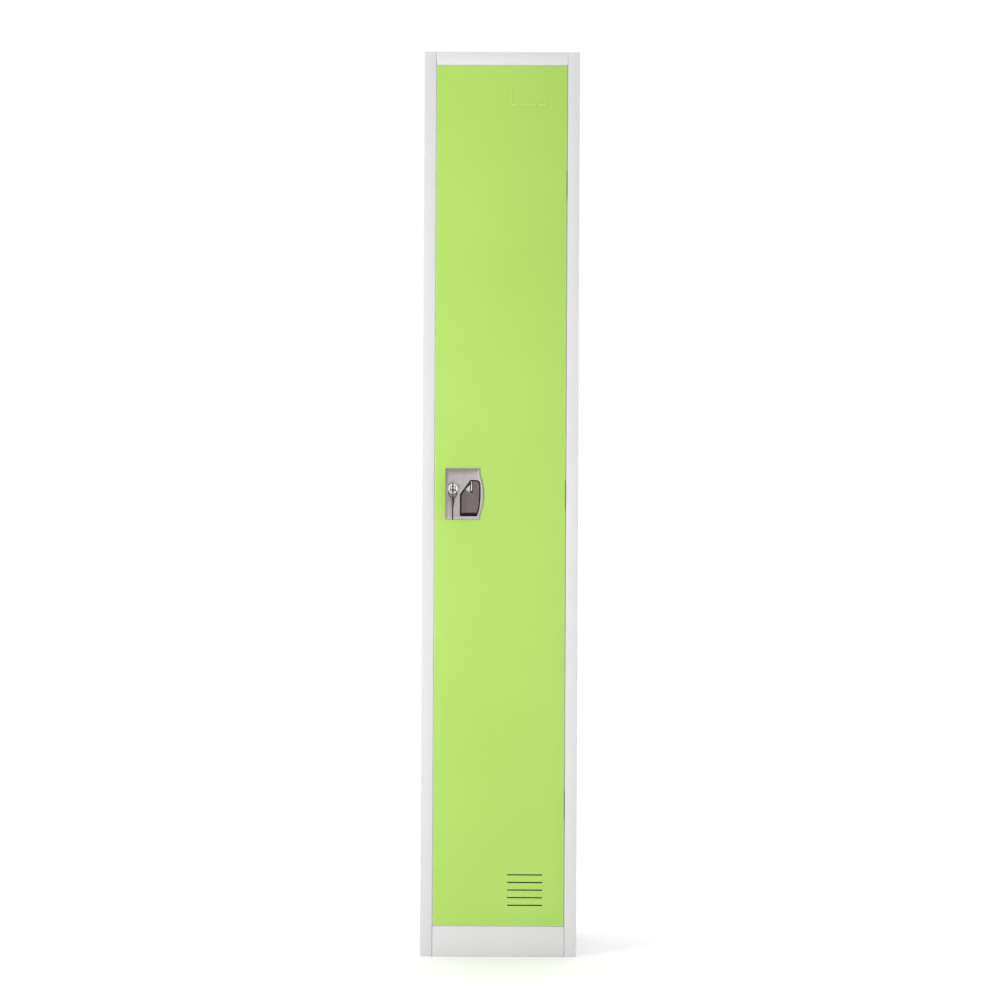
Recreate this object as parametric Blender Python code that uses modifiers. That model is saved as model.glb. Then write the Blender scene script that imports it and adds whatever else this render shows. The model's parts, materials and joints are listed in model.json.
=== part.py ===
"""Single-tier school locker, as an assembly of folded sheet, hinges and lock.

Metres, +Z up. The front faces -Y and +X is on the right of someone facing it.
Depths are measured from the front plane of the frame, and one empty moves the
whole locker so that the middle of its base is at the origin.

A folded sheet is a path of its outer face, walked with the metal on the left.
"""

import math

import bmesh
import bpy
from mathutils import Matrix, Vector

# Carcass
WIDTH = 0.310
HEIGHT = 1.800
DEPTH = 0.305
SHEET = 0.001
BEND = 0.0018
GAP = 0.0003
POST_FACE = 0.024
POST_LEG = 0.030
RAIL_HEIGHT = 0.026
PLINTH_HEIGHT = 0.060
STOP_FRONT = 0.0235
STOP_WIDTH = 0.012
FLANGE = 0.018
BASE_FLANGE = 0.020
REAR_FLANGE = 0.020
SHELF_DROP = 0.300
ROD_DROP = 0.360
ROD_RADIUS = 0.010
HOOK_DROP = 0.420

# Door
DOOR_GAP = 0.0012
DOOR_DEPTH = 0.020
DOOR_LIP = 0.015
STIFFENER_Z = (0.270, 1.564)
VENT_SIZE = (0.070, 0.0024)
VENT_LEFT = 0.0175
VENT_LOWEST = 0.102
VENT_PITCH = 0.01505
VENT_COUNT = 5
CARD_LEFT = 0.0185
CARD_RIGHT = 0.0883
CARD_BOTTOM = 1.6935
CARD_BAR = 0.0020

# Hinges
HINGE_EDGE = 0.008
HINGE_BACK = 0.005
HINGE_HEIGHTS = (0.299, 0.917, 1.535)
KNUCKLE_RADIUS = 0.0034
KNUCKLE_BORE = 0.0022
PIN_RADIUS = 0.0020
LEAF = 0.0012
MIDDLE_KNUCKLE = 0.024
HINGE_LENGTH = 0.050

# Lock housing, on the door
PLATE_LEFT = -0.109
PLATE_RIGHT = -0.040
PLATE_BOTTOM = 0.867
PLATE_TOP = 0.969
PLATE_BULGE = 0.0078
BULGE_Z = (0.876, 0.956)
PLATE_BORDER = 0.0050
PLATE_PROUD = 0.0038
CUP_DEPTH = 0.012
CUP_WALL = 0.0012
SCREW_AT = ((-0.1025, 0.9605), (-0.1025, 0.8755))

# Key cylinder
PLUG_X = -0.094
PLUG_Z = 0.9287
BARREL_PROUD = 0.002
BARREL_BACK = 0.022
PLUG_RADIUS = 0.005
CAM_LENGTH = 0.032
CAM_FRONT = 0.0251
KEY_THICK = 0.002
KEY_BLADE = 0.024
KEY_BOW = 0.024
KEY_BOW_HALF = 0.011
KEY_HOLE_IN = 0.0055
RING_RADIUS = 0.0082
RING_WIRE = 0.0007
RING_DROP = 0.0019
SPARE_TURN = 9

# Lever and latch
LEVER_AXIS_Z = 0.935
LEVER_AXIS_BACK = 0.0032
LEVER_FRONT = -0.0039
LEVER_THICK = 0.0035
LEVER_PIN = 0.0012
STAPLE_X = (-0.0582, -0.0562)
BOLT_BACK = 0.0155
BOLT_THICK = 0.003
BOLT_Z = (0.890, 0.904)

DOOR_HALF = WIDTH / 2 - POST_FACE - DOOR_GAP
OPENING_HALF = WIDTH / 2 - POST_FACE
OPENING_LOW = PLINTH_HEIGHT
OPENING_HIGH = HEIGHT - RAIL_HEIGHT
HINGE_X = DOOR_HALF - HINGE_EDGE
SIDE_X = WIDTH / 2 - SHEET - GAP
INNER_X = SIDE_X - SHEET - GAP
BACK_FACE = DEPTH - SHEET - GAP
INNER_BACK = BACK_FACE - SHEET - GAP
PLATE_FACE = -PLATE_PROUD
BARREL_FRONT = PLATE_FACE - BARREL_PROUD
SHOULDER = BARREL_FRONT - 0.001
KEY_HOLE_Y = SHOULDER - KEY_BOW + KEY_HOLE_IN
RING_TOP_Z = PLUG_Z - RING_DROP
RING_FOOT_Z = RING_TOP_Z - 2 * RING_RADIUS
REACH = KEY_BOW_HALF - KEY_HOLE_Y
FRONT_Y = (REACH - DEPTH) / 2

FINISHES = {
    "grey": ((0.80, 0.80, 0.82), 0.42, 0.0),
    "green": ((0.49, 0.77, 0.16), 0.42, 0.0),
    "zinc": ((0.62, 0.63, 0.65), 0.38, 1.0),
    "nickel": ((0.52, 0.47, 0.48), 0.34, 1.0),
    "gunmetal": ((0.20, 0.17, 0.18), 0.36, 0.8),
    "chrome": ((0.80, 0.80, 0.81), 0.10, 1.0),
    "rubber": ((0.03, 0.03, 0.03), 0.80, 0.0),
}

PIVOTS = {
    "cabinet": (None, Vector((0, 0, 0))),
    "door": ("cabinet", Vector((HINGE_X, HINGE_BACK, 0))),
    "lever": ("door", Vector((STAPLE_X[1], LEVER_AXIS_BACK, LEVER_AXIS_Z))),
    "latch": ("door", Vector((-DOOR_HALF, BOLT_BACK, BOLT_Z[0]))),
    "plug": ("door", Vector((PLUG_X, BARREL_FRONT, PLUG_Z))),
    "key": ("plug", Vector((PLUG_X, SHOULDER, PLUG_Z))),
    "ring": ("key", Vector((PLUG_X, KEY_HOLE_Y, RING_TOP_Z))),
    "spare": ("ring", Vector((PLUG_X, KEY_HOLE_Y, RING_FOOT_Z))),
}


# Scene and objects

def clear_scene():
    for item in list(bpy.data.objects):
        bpy.data.objects.remove(item, do_unlink=True)


def make_collection(name):
    collection = bpy.data.collections.new(name)
    bpy.context.scene.collection.children.link(collection)
    return collection


def make_pivots():
    """One empty on each joint's axis, chained as the bodies are."""
    empties = {}
    for name, (parent, place) in PIVOTS.items():
        empty = bpy.data.objects.new(f"{name}_pivot", None)
        PARTS.objects.link(empty)
        if parent is None:
            empty.location = (0, FRONT_Y, 0)
        else:
            empty.parent = empties[parent]
            empty.location = place - PIVOTS[parent][1]
        empties[name] = empty
    return empties


def finish(name, kind):
    colour, roughness, metallic = FINISHES[kind]
    material = bpy.data.materials.new(f"{name}_{kind}")
    material.use_nodes = True
    shader = material.node_tree.nodes["Principled BSDF"]
    shader.inputs["Base Color"].default_value = (*colour, 1)
    shader.inputs["Roughness"].default_value = roughness
    shader.inputs["Metallic"].default_value = metallic
    return material


def place_object(name, shape, collection, body, location, rotation):
    mesh = bpy.data.meshes.new(name)
    shape.to_mesh(mesh)
    shape.free()
    item = bpy.data.objects.new(name, mesh)
    collection.objects.link(item)
    item.parent = EMPTIES[body]
    item.matrix_parent_inverse = Matrix.Translation(-PIVOTS[body][1])
    item.location = location
    item.rotation_euler = rotation
    return item


def part(name, shape, kind, body="cabinet", location=(0, 0, 0), rotation=(0, 0, 0)):
    item = place_object(name, shape, PARTS, body, location, rotation)
    item.data.materials.append(finish(name, kind))
    return item


def tool(shape, body="cabinet", location=(0, 0, 0), rotation=(0, 0, 0)):
    item = place_object(f"tool_{len(TOOLS.objects)}", shape, TOOLS, body, location, rotation)
    item.hide_render = True
    item.display_type = "WIRE"
    return item


def combine(item, shape, operation, body="cabinet"):
    """Cuts the shape from the item, or joins it on."""
    modifier = item.modifiers.new(operation.lower(), "BOOLEAN")
    modifier.operation = operation
    modifier.object = tool(shape, body)
    return item


def cut(item, shape, body="cabinet"):
    return combine(item, shape, "DIFFERENCE", body)


def join(item, shape, body="cabinet"):
    return combine(item, shape, "UNION", body)


def smooth(item, degrees=40):
    item.data.shade_smooth()
    item.data.set_sharp_from_angle(angle=math.radians(degrees))
    return item


def bevel(item, width, segments=2, degrees=30):
    modifier = item.modifiers.new("round", "BEVEL")
    modifier.width = width
    modifier.segments = segments
    modifier.limit_method = "ANGLE"
    modifier.angle_limit = math.radians(degrees)
    return item


def thicken(item, thickness, offset=-1):
    modifier = item.modifiers.new("sheet", "SOLIDIFY")
    modifier.thickness = thickness
    modifier.offset = offset
    modifier.use_even_offset = True
    return item


# Shapes

def box(low, high, shape=None):
    shape = shape or bmesh.new()
    low, high = Vector(low), Vector(high)
    corners = bmesh.ops.create_cube(shape, size=1)["verts"]
    bmesh.ops.scale(shape, vec=high - low, verts=corners)
    bmesh.ops.translate(shape, vec=(low + high) / 2, verts=corners)
    return shape


def cylinder(start, end, radius, sides=24, shape=None):
    shape = shape or bmesh.new()
    start, end = Vector(start), Vector(end)
    turn = (end - start).to_track_quat("Z", "Y").to_matrix().to_4x4()
    bmesh.ops.create_cone(
        shape, cap_ends=True, segments=sides, radius1=radius, radius2=radius,
        depth=(end - start).length, matrix=Matrix.Translation((start + end) / 2) @ turn,
    )
    return shape


def spot(point, run, along):
    """A point of a flat outline, set at a distance along the axis it runs on."""
    a, b = point
    return {"X": (along, a, b), "Y": (a, along, b), "Z": (a, b, along)}[run]


def prism(outline, run, low, high, shape=None):
    """A flat outline made solid between two distances along an axis."""
    shape = shape or bmesh.new()
    base = shape.faces.new([shape.verts.new(spot(point, run, low)) for point in outline])
    grown = bmesh.ops.extrude_face_region(shape, geom=[base])["geom"]
    far = [item for item in grown if isinstance(item, bmesh.types.BMVert)]
    bmesh.ops.translate(shape, vec=spot((0, 0), run, high - low), verts=far)
    bmesh.ops.recalc_face_normals(shape, faces=shape.faces)
    return shape


def raised(outline, base, edge, top, slope):
    """A plate on XZ that faces -Y: straight edges up to edge, then a border sloping in to top."""
    shape = prism(outline, "Y", base, edge)
    face = min(shape.faces, key=lambda side: side.normal.y)
    bmesh.ops.inset_region(
        shape, faces=[face], thickness=slope, depth=edge - top, use_even_offset=True
    )
    return shape


def arc(centre, radius, start, end, steps):
    """Points from one angle to another, in degrees."""
    angles = [math.radians(start + (end - start) * step / steps) for step in range(steps + 1)]
    return [
        (centre[0] + radius * math.cos(angle), centre[1] + radius * math.sin(angle))
        for angle in angles
    ]


def rounded(outline, radii, steps=4):
    """The outline with each corner replaced by an arc; a radius of 0 keeps it sharp."""
    points = []
    for index, (corner, radius) in enumerate(zip(outline, radii)):
        here = Vector(corner)
        back = (Vector(outline[index - 1]) - here).normalized()
        ahead = (Vector(outline[(index + 1) % len(outline)]) - here).normalized()
        if radius == 0:
            points.append(tuple(here))
            continue
        half = back.angle(ahead) / 2
        centre = here + (back + ahead).normalized() * radius / math.sin(half)
        first = here + back * radius / math.tan(half) - centre
        last = here + ahead * radius / math.tan(half) - centre
        turn = first.angle_signed(last)
        for step in range(steps + 1):
            points.append(tuple(centre + Matrix.Rotation(-turn * step / steps, 2) @ first))
    return points


def grown(outline, distance):
    """An anticlockwise outline with every side moved out by a distance."""
    points = []
    for index, corner in enumerate(outline):
        here = Vector(corner)
        before = (here - Vector(outline[index - 1])).normalized()
        after = (Vector(outline[(index + 1) % len(outline)]) - here).normalized()
        out = Vector((before.y, -before.x)) + Vector((after.y, -after.x))
        points.append(tuple(here + out * distance / (1 + before.dot(after))))
    return points


def mirrored(path):
    """The same path on the other side of the middle, with the metal still on its left."""
    return [(-x, y) for x, y in reversed(path)]


def folded(name, path, run, low, high, kind, body="cabinet", thickness=SHEET, fold=BEND):
    """A sheet folded along a path. Along X the path is (depth, height), along Z it is (x, depth)."""
    shape = bmesh.new()
    near = [shape.verts.new(spot(point, run, low)) for point in path]
    far = [shape.verts.new(spot(point, run, high)) for point in path]
    for index in range(len(path) - 1):
        shape.faces.new([near[index], near[index + 1], far[index + 1], far[index]])
    item = part(name, shape, kind, body)
    bevel(item, fold)
    return smooth(thicken(item, thickness))


def pan(name, low, high, opens, kind, body="cabinet", lip=0.0):
    """A sheet folded down on four sides of a box. The box's face towards opens is left open."""
    shape = box(low, high)
    face = max(shape.faces, key=lambda side: side.normal.dot(Vector(opens)))
    if lip:
        bmesh.ops.inset_region(shape, faces=[face], thickness=lip, use_even_offset=True)
    bmesh.ops.delete(shape, geom=[face], context="FACES_ONLY")
    item = part(name, shape, kind, body)
    bevel(item, BEND)
    return smooth(thicken(item, SHEET))


def turned(name, profile, kind, body, location, rotation, sides=24, closed=False):
    """A profile of (radius, height) turned about Z, its outer side walked from top to bottom."""
    shape = bmesh.new()
    points = [shape.verts.new((radius, 0, height)) for radius, height in profile]
    for first, second in zip(points, points[1:]):
        shape.edges.new((first, second))
    if closed:
        shape.edges.new((points[-1], points[0]))
    item = part(name, shape, kind, body, location, rotation)
    modifier = item.modifiers.new("turn", "SCREW")
    modifier.steps = sides
    modifier.render_steps = sides
    modifier.use_merge_vertices = True
    modifier.merge_threshold = 1e-5
    return item


# Carcass

def post(name, path, side):
    """A front post, cut back at both ends so that the rail and the plinth butt against its face."""
    item = folded(name, path, "Z", 0, HEIGHT, "grey")
    near, far = sorted((side * (OPENING_HALF - 2 * STOP_WIDTH), side * (OPENING_HALF + 1.5 * SHEET)))
    tool_shape = None
    for low, high in ((-SHEET, OPENING_LOW + GAP), (OPENING_HIGH - GAP, HEIGHT + SHEET)):
        corner = (near, SHEET + GAP, low)
        tool_shape = box(corner, (far, STOP_FRONT + 2 * SHEET, high), tool_shape)
    return cut(item, tool_shape)


def front_posts():
    path = [
        (OPENING_HALF - STOP_WIDTH, STOP_FRONT), (OPENING_HALF, STOP_FRONT),
        (OPENING_HALF, 0), (WIDTH / 2, 0), (WIDTH / 2, POST_LEG),
    ]
    post("front_post_right", path, 1)
    left = post("front_post_left", mirrored(path), -1)
    cut(left, box(*strike_slot(-OPENING_HALF - 2 * SHEET, -OPENING_HALF + SHEET)))


def strike_slot(left, right):
    """The slot that the latch bolt enters, between two places across the width."""
    room = 0.002
    low = (left, BOLT_BACK - room, BOLT_Z[0] - room)
    high = (right, BOLT_BACK + BOLT_THICK + room, BOLT_Z[1] + room)
    return low, high


def strike_plate():
    right = -OPENING_HALF - SHEET - GAP
    left = right - 0.0012
    item = part("strike_plate", box((left, 0.005, 0.875), (right, 0.0215, 0.919)), "zinc")
    cut(item, box(*strike_slot(left - SHEET, right + SHEET)))


def cross_member(name, path, lip_low, lip_high):
    """The top rail or the plinth. Its door stop is cut away where the posts have theirs."""
    half = OPENING_HALF - GAP
    item = folded(name, path, "X", -half, half, "grey")
    shape = None
    for side in (-1, 1):
        near, far = sorted((side * (OPENING_HALF - STOP_WIDTH - GAP), side * (half + SHEET)))
        low = (near, STOP_FRONT - SHEET, lip_low)
        shape = box(low, (far, STOP_FRONT + 3 * SHEET, lip_high), shape)
    cut(item, shape)


def top_rail_and_plinth():
    stop = STOP_WIDTH
    top = [(0, HEIGHT), (0, OPENING_HIGH), (STOP_FRONT, OPENING_HIGH), (STOP_FRONT, OPENING_HIGH - stop)]
    cross_member("top_rail", top, OPENING_HIGH - 2 * stop, OPENING_HIGH - GAP)
    foot = [
        (STOP_FRONT, OPENING_LOW + stop), (STOP_FRONT, OPENING_LOW), (0, OPENING_LOW),
        (0, 0), (BASE_FLANGE, 0),
    ]
    cross_member("plinth", foot, OPENING_LOW + GAP, OPENING_LOW + 2 * stop)


def side_and_back_panels():
    path = [(SIDE_X, 3 * SHEET), (SIDE_X, DEPTH), (SIDE_X - REAR_FLANGE, DEPTH)]
    folded("side_panel_right", path, "Z", 0, HEIGHT, "grey")
    folded("side_panel_left", mirrored(path), "Z", 0, HEIGHT, "grey")
    back = [(BACK_FACE - BASE_FLANGE, 0), (BACK_FACE, 0), (BACK_FACE, HEIGHT - SHEET)]
    folded("back_panel", back, "X", -INNER_X, INNER_X, "grey")


def pans():
    """The top, the floor and the hat shelf: sheets folded down on four sides."""
    levels = (
        ("top_panel", SHEET + GAP, HEIGHT),
        ("floor_panel", STOP_FRONT + SHEET + GAP, OPENING_LOW),
        ("hat_shelf", 0.027, HEIGHT - SHELF_DROP),
    )
    for name, front, level in levels:
        low = (-INNER_X, front, level - FLANGE)
        pan(name, low, (INNER_X, INNER_BACK, level), (0, 0, -1), "grey")


def shelf_clips():
    top = HEIGHT - SHELF_DROP - FLANGE - GAP
    inner, leg, thick, length = 0.018, 0.026, 0.0012, 0.025
    outline = [
        (INNER_X - inner, top - thick), (INNER_X - thick, top - thick), (INNER_X - thick, top - leg),
        (INNER_X, top - leg), (INNER_X, top), (INNER_X - inner, top),
    ]
    for side, points in (("right", outline), ("left", mirrored(outline))):
        for end, start in (("front", 0.045), ("back", 0.255)):
            part(f"shelf_clip_{side}_{end}", prism(points, "Y", start, start + length), "zinc")


def coat_rod():
    middle, level, wall, plate = 0.165, HEIGHT - ROD_DROP, 0.001, 0.0015
    half = INNER_X - plate - 0.0005
    tube = [(ROD_RADIUS, half), (ROD_RADIUS, -half), (ROD_RADIUS - wall, -half), (ROD_RADIUS - wall, half)]
    across = math.radians(90)
    smooth(turned("coat_rod", tube, "zinc", "cabinet", (0, middle, level), (0, across, 0), closed=True))
    inside, outside = ROD_RADIUS + 0.0004, ROD_RADIUS + 0.002
    cup = [
        (0, plate), (inside, plate), (inside, 0.010), (outside, 0.010), (outside, plate),
        (0.017, plate), (0.017, 0), (0, 0),
    ]
    for side, word in ((-1, "left"), (1, "right")):
        place = (side * INNER_X, middle, level)
        turned(f"rod_socket_{word}", cup, "zinc", "cabinet", place, (0, -side * across, 0))


def coat_hooks():
    level, strip, half_width, spread = HEIGHT - HOOK_DROP, 0.0025, 0.007, 0.070
    wall = INNER_BACK
    path = [
        (wall - 0.040, level + 0.008), (wall - 0.034, level - 0.014), (wall - 0.016, level - 0.020),
        (wall, level - 0.008), (wall, level + 0.024),
    ]
    for side, word in ((-1, "left"), (1, "right")):
        low = side * spread - half_width
        hook = folded(f"coat_hook_{word}", path, "X", low, low + 2 * half_width, "zinc",
                      thickness=strip, fold=0.005)
        hook.modifiers["round"].segments = 4


def door_bumpers():
    profile = [(0, 0.0029), (0.0032, 0.0029), (0.0043, 0.0020), (0.0043, 0), (0, 0)]
    for word, level in (("upper", 1.480), ("lower", 0.360)):
        place = (-OPENING_HALF + 0.0064, STOP_FRONT - GAP, level)
        turned(f"door_bumper_{word}", profile, "rubber", "cabinet", place, (math.radians(90), 0, 0), 16)


# Hinges

def hinges():
    for word, level in zip(("lower", "middle", "upper"), HINGE_HEIGHTS):
        frame_leaf(f"hinge_frame_leaf_{word}", level)
        door_leaf(f"hinge_door_leaf_{word}", level)
        hinge_pin(f"hinge_pin_{word}", level)


def axis_cylinder(low, high, radius, shape=None):
    """A cylinder on the hinge axis between two heights."""
    return cylinder((HINGE_X, HINGE_BACK, low), (HINGE_X, HINGE_BACK, high), radius, 20, shape)


def frame_leaf(name, level):
    """The middle knuckle, on a web straight back from the axis and a foot on the post's stop."""
    half = MIDDLE_KNUCKLE / 2
    front = STOP_FRONT - GAP - LEAF
    edge = HINGE_X + LEAF / 2
    path = [
        (edge, HINGE_BACK + (KNUCKLE_RADIUS + KNUCKLE_BORE) / 2),
        (edge, front), (OPENING_HALF - BEND, front),
    ]
    item = folded(name, path, "Z", level - half, level + half, "zinc", thickness=LEAF, fold=0.001)
    join(item, axis_cylinder(level - half, level + half, KNUCKLE_RADIUS))
    cut(item, axis_cylinder(level - 2 * half, level + 2 * half, KNUCKLE_BORE))


def door_leaf(name, level):
    """A plate inside the door skin, with a knuckle above and one below the frame's."""
    half, middle = HINGE_LENGTH / 2, MIDDLE_KNUCKLE / 2 + GAP
    front = HINGE_BACK - KNUCKLE_RADIUS + 0.0001
    low = (HINGE_X - 0.034, front, level - half)
    item = part(name, box(low, (HINGE_X, front + LEAF - 0.0002, level + half)), "zinc", "door")
    knuckles = axis_cylinder(level - half, level - middle, KNUCKLE_RADIUS)
    join(item, axis_cylinder(level + middle, level + half, KNUCKLE_RADIUS, knuckles), "door")
    cut(item, axis_cylinder(level - 2 * half, level + 2 * half, KNUCKLE_BORE), "door")
    room = KNUCKLE_RADIUS + 0.0008
    gap_low = (HINGE_X - room, 0, level - middle)
    cut(item, box(gap_low, (HINGE_X + room, 2 * HINGE_BACK, level + middle)), "door")


def hinge_pin(name, level):
    top, head = HINGE_LENGTH / 2 + GAP, 0.0030
    profile = [
        (0, top + 0.0016), (0.0018, top + 0.0013), (head, top + 0.0005), (head, top),
        (PIN_RADIUS, top), (PIN_RADIUS, -top), (0, -top),
    ]
    turned(name, profile, "zinc", "door", (HINGE_X, HINGE_BACK, level), (0, 0, 0), 16)


# Door

def door_panel():
    low = (-DOOR_HALF, 0, OPENING_LOW + DOOR_GAP)
    high = (DOOR_HALF, DOOR_DEPTH, OPENING_HIGH - DOOR_GAP)
    item = pan("door_panel", low, high, (0, 1, 0), "green", "door", DOOR_LIP)
    cut(item, vent_slots(), "door")
    cut(item, lock_openings(), "door")
    cut(item, hinge_notches(), "door")
    side = -DOOR_HALF
    hole = box((side - SHEET, BOLT_BACK - 0.0005, BOLT_Z[0] - 0.001),
               (side + 2 * SHEET, BOLT_BACK + BOLT_THICK + 0.0004, BOLT_Z[1] + 0.001))
    cut(item, hole, "door")


def vent_slots():
    shape = None
    length, height = VENT_SIZE
    for index in range(VENT_COUNT):
        low = VENT_LOWEST + index * VENT_PITCH - height / 2
        corners = [
            (VENT_LEFT, low), (VENT_LEFT + length, low),
            (VENT_LEFT + length, low + height), (VENT_LEFT, low + height),
        ]
        outline = rounded(corners, [0.45 * height] * 4, 3)
        shape = prism(outline, "Y", -SHEET, 2 * SHEET, shape)
    return shape


def lock_openings():
    """Holes in the skin for the cup, the key cylinder and the two housing screws."""
    shape = prism(cup_outline(CUP_WALL + 0.0004), "Y", -SHEET, 2 * SHEET)
    shape = cylinder((PLUG_X, -SHEET, PLUG_Z), (PLUG_X, 2 * SHEET, PLUG_Z), 0.0092, 24, shape)
    for x, z in SCREW_AT:
        shape = cylinder((x, -SHEET, z), (x, 2 * SHEET, z), 0.0020, 12, shape)
    return shape


def hinge_notches():
    """Each hinge's web passes through the side flange and the back lip."""
    half = HINGE_LENGTH / 2 + 0.003
    shape = None
    for level in HINGE_HEIGHTS:
        low = (DOOR_HALF - DOOR_LIP - 0.0005, SHEET + GAP, level - half)
        shape = box(low, (DOOR_HALF + SHEET, DOOR_DEPTH + SHEET, level + half), shape)
    return shape


def door_stiffener():
    foot, crown = SHEET + GAP, 0.012
    path = [
        (0.022, foot + SHEET), (0.013, foot + SHEET), (0.009, crown),
        (-0.009, crown), (-0.013, foot + SHEET), (-0.022, foot + SHEET),
    ]
    folded("door_stiffener", path, "Z", *STIFFENER_Z, "green", "door")


def card_holder():
    bar, bottom = CARD_BAR, CARD_BOTTOM
    left = [
        (CARD_LEFT, bottom), (0.0335, bottom), (0.0335, bottom + bar),
        (CARD_LEFT + bar, bottom + bar), (CARD_LEFT + bar, 1.727), (CARD_LEFT, 1.727),
    ]
    right = [
        (0.0725, bottom), (CARD_RIGHT, bottom), (CARD_RIGHT, 1.7115),
        (CARD_RIGHT - bar, 1.7115), (CARD_RIGHT - bar, bottom + bar), (0.0725, bottom + bar),
    ]
    middle = [(0.0390, bottom), (0.0680, bottom), (0.0680, bottom + bar), (0.0390, bottom + bar)]
    for word, outline in (("left", left), ("bottom", middle), ("right", right)):
        item = part(f"card_holder_{word}", prism(outline, "Y", -GAP, -0.0016), "green", "door")
        bevel(item, 0.0004, 1)


# Lock housing, with the lever and its cup

def pull_outline(bottom=0.8746):
    """The five-sided shape of the cup and the lever, along the middle of the gap between them."""
    slant = -0.0468 + (bottom - 0.8746) * 0.32
    return [
        (-0.0792, bottom), (slant, bottom), (-0.0422, 0.8890), (-0.0402, 0.9120),
        (-0.0402, 0.9448), (-0.0589, 0.9448), (-0.0792, 0.9170),
    ]


def cup_outline(wall):
    corners = grown(pull_outline(), 0.001 + wall)
    return rounded(corners, [0.003, 0.003, 0, 0, 0.009, 0.002, 0.004])


def plate_outline():
    """A rectangle with a bulge over part of its right side."""
    low, high = BULGE_Z
    half = (high - low) / 2
    radius = (half ** 2 + PLATE_BULGE ** 2) / (2 * PLATE_BULGE)
    centre = (PLATE_RIGHT + PLATE_BULGE - radius, (low + high) / 2)
    reach = math.degrees(math.asin(half / radius))
    bulge = arc(centre, radius, -reach, reach, 8)
    right = [(PLATE_RIGHT, PLATE_BOTTOM), *bulge, (PLATE_RIGHT, PLATE_TOP)]
    return [(PLATE_LEFT, PLATE_BOTTOM), *right, (PLATE_LEFT, PLATE_TOP)]


def lock_housing():
    shape = raised(plate_outline(), -GAP, -0.0013, PLATE_FACE, PLATE_BORDER)
    item = part("lock_housing", shape, "nickel", "door")
    join(item, prism(cup_outline(CUP_WALL), "Y", -0.0010, CUP_DEPTH + CUP_WALL), "door")
    cut(item, prism(cup_outline(0), "Y", PLATE_FACE - SHEET, CUP_DEPTH), "door")
    cut(item, housing_holes(), "door")
    cut(item, cylinder((-0.0405, LEVER_AXIS_BACK, LEVER_AXIS_Z),
                       (-0.0360, LEVER_AXIS_BACK, LEVER_AXIS_Z), 0.0015, 12), "door")
    smooth(item)


def housing_holes():
    """The barrel's hole, two blind screw holes, and slots behind the cup for staple and lever tail."""
    shape = cylinder((PLUG_X, PLATE_FACE - SHEET, PLUG_Z), (PLUG_X, SHEET, PLUG_Z), 0.0088)
    for x, z in SCREW_AT:
        shape = cylinder((x, -0.0026, z), (x, 0, z), 0.0019, 12, shape)
    low, high = CUP_DEPTH - 0.0005, CUP_DEPTH + CUP_WALL + SHEET
    shape = box((STAPLE_X[0] - 0.0004, low, 0.9266), (STAPLE_X[1] + 0.0004, high, 0.9384), shape)
    return box((-0.0549, low, 0.9235), (-0.0491, high, 0.9385), shape)


def housing_screws():
    skin = SHEET + GAP
    profile = [
        (0, skin + 0.0019), (0.0026, skin + 0.0019), (0.0035, skin + 0.0011), (0.0035, skin),
        (0.0015, skin), (0.0015, -0.0022), (0, -0.0022),
    ]
    for word, (x, z) in zip(("upper", "lower"), SCREW_AT):
        turned(f"housing_screw_{word}", profile, "zinc", "door", (x, 0, z), (math.radians(-90), 0, 0), 12)


def padlock_staple():
    """A fin out through the lever's notch with an eye for a padlock, on a plate in the cup."""
    left, right = STAPLE_X
    axis = (LEVER_AXIS_BACK, LEVER_AXIS_Z)
    nose = arc(axis, 0.0146, 243, 188, 5)
    front = nose[-1][0]
    top, tail = 0.9433, CUP_DEPTH + 0.002
    outline = [
        *nose, (front, top - 0.0038), (front + 0.0012, top - 0.0012), (front + 0.0038, top),
        (CUP_DEPTH - GAP, top), (CUP_DEPTH - GAP, 0.9380), (tail, 0.9380), (tail, 0.9270),
        (CUP_DEPTH - GAP, 0.9270), (CUP_DEPTH - GAP, 0.9180),
    ]
    item = part("padlock_staple", prism(outline, "X", left, right), "chrome", "door")
    flange = [
        (right - 0.001, 0.9150), (right - 0.001, 0.9215), (-0.0600, 0.9215), (-0.0600, 0.9367),
        (-0.0715, 0.9262), (-0.0715, 0.9150),
    ]
    join(item, prism(flange, "Y", 0.0060, 0.0075), "door")
    eye = (front + 0.0047, top - 0.0058)
    holes = cylinder((left - SHEET, *eye), (right + SHEET, *eye), 0.0033, 16)
    cut(item, cylinder((left - SHEET, *axis), (right + SHEET, *axis), 0.0016, 12, holes), "door")
    smooth(item)


def lift_lever():
    base = LEVER_FRONT + LEVER_THICK
    corners = grown(pull_outline(0.8786), -0.001)
    outline = rounded(corners, [0.0025, 0.0025, 0, 0, 0.008, 0, 0.003])
    shape = raised(outline, base, base - 0.0020, LEVER_FRONT, 0.0016)
    item = part("lift_lever", shape, "gunmetal", "lever")
    notch = [(-0.0550, 0.9188), (-0.0550, 0.9520), (-0.0860, 0.9520), (-0.0860, 0.9348)]
    cut(item, prism(notch, "Y", LEVER_FRONT - SHEET, base + SHEET), "lever")
    inside = base - 0.0006
    join(item, box((-0.0535, inside, 0.9335), (-0.0505, 0.0175, 0.9365)), "lever")
    join(item, box((-0.0533, inside, 0.9320), (-0.0457, 0.0015, 0.9350)), "lever")
    start, end = (-0.0538, LEVER_AXIS_BACK, LEVER_AXIS_Z), (-0.0450, LEVER_AXIS_BACK, LEVER_AXIS_Z)
    join(item, cylinder(start, end, 0.0032, 20), "lever")
    bore_start, bore_end = (-0.0560, *start[1:]), (-0.0430, *start[1:])
    cut(item, cylinder(bore_start, bore_end, 0.0015, 16), "lever")
    smooth(item)


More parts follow.
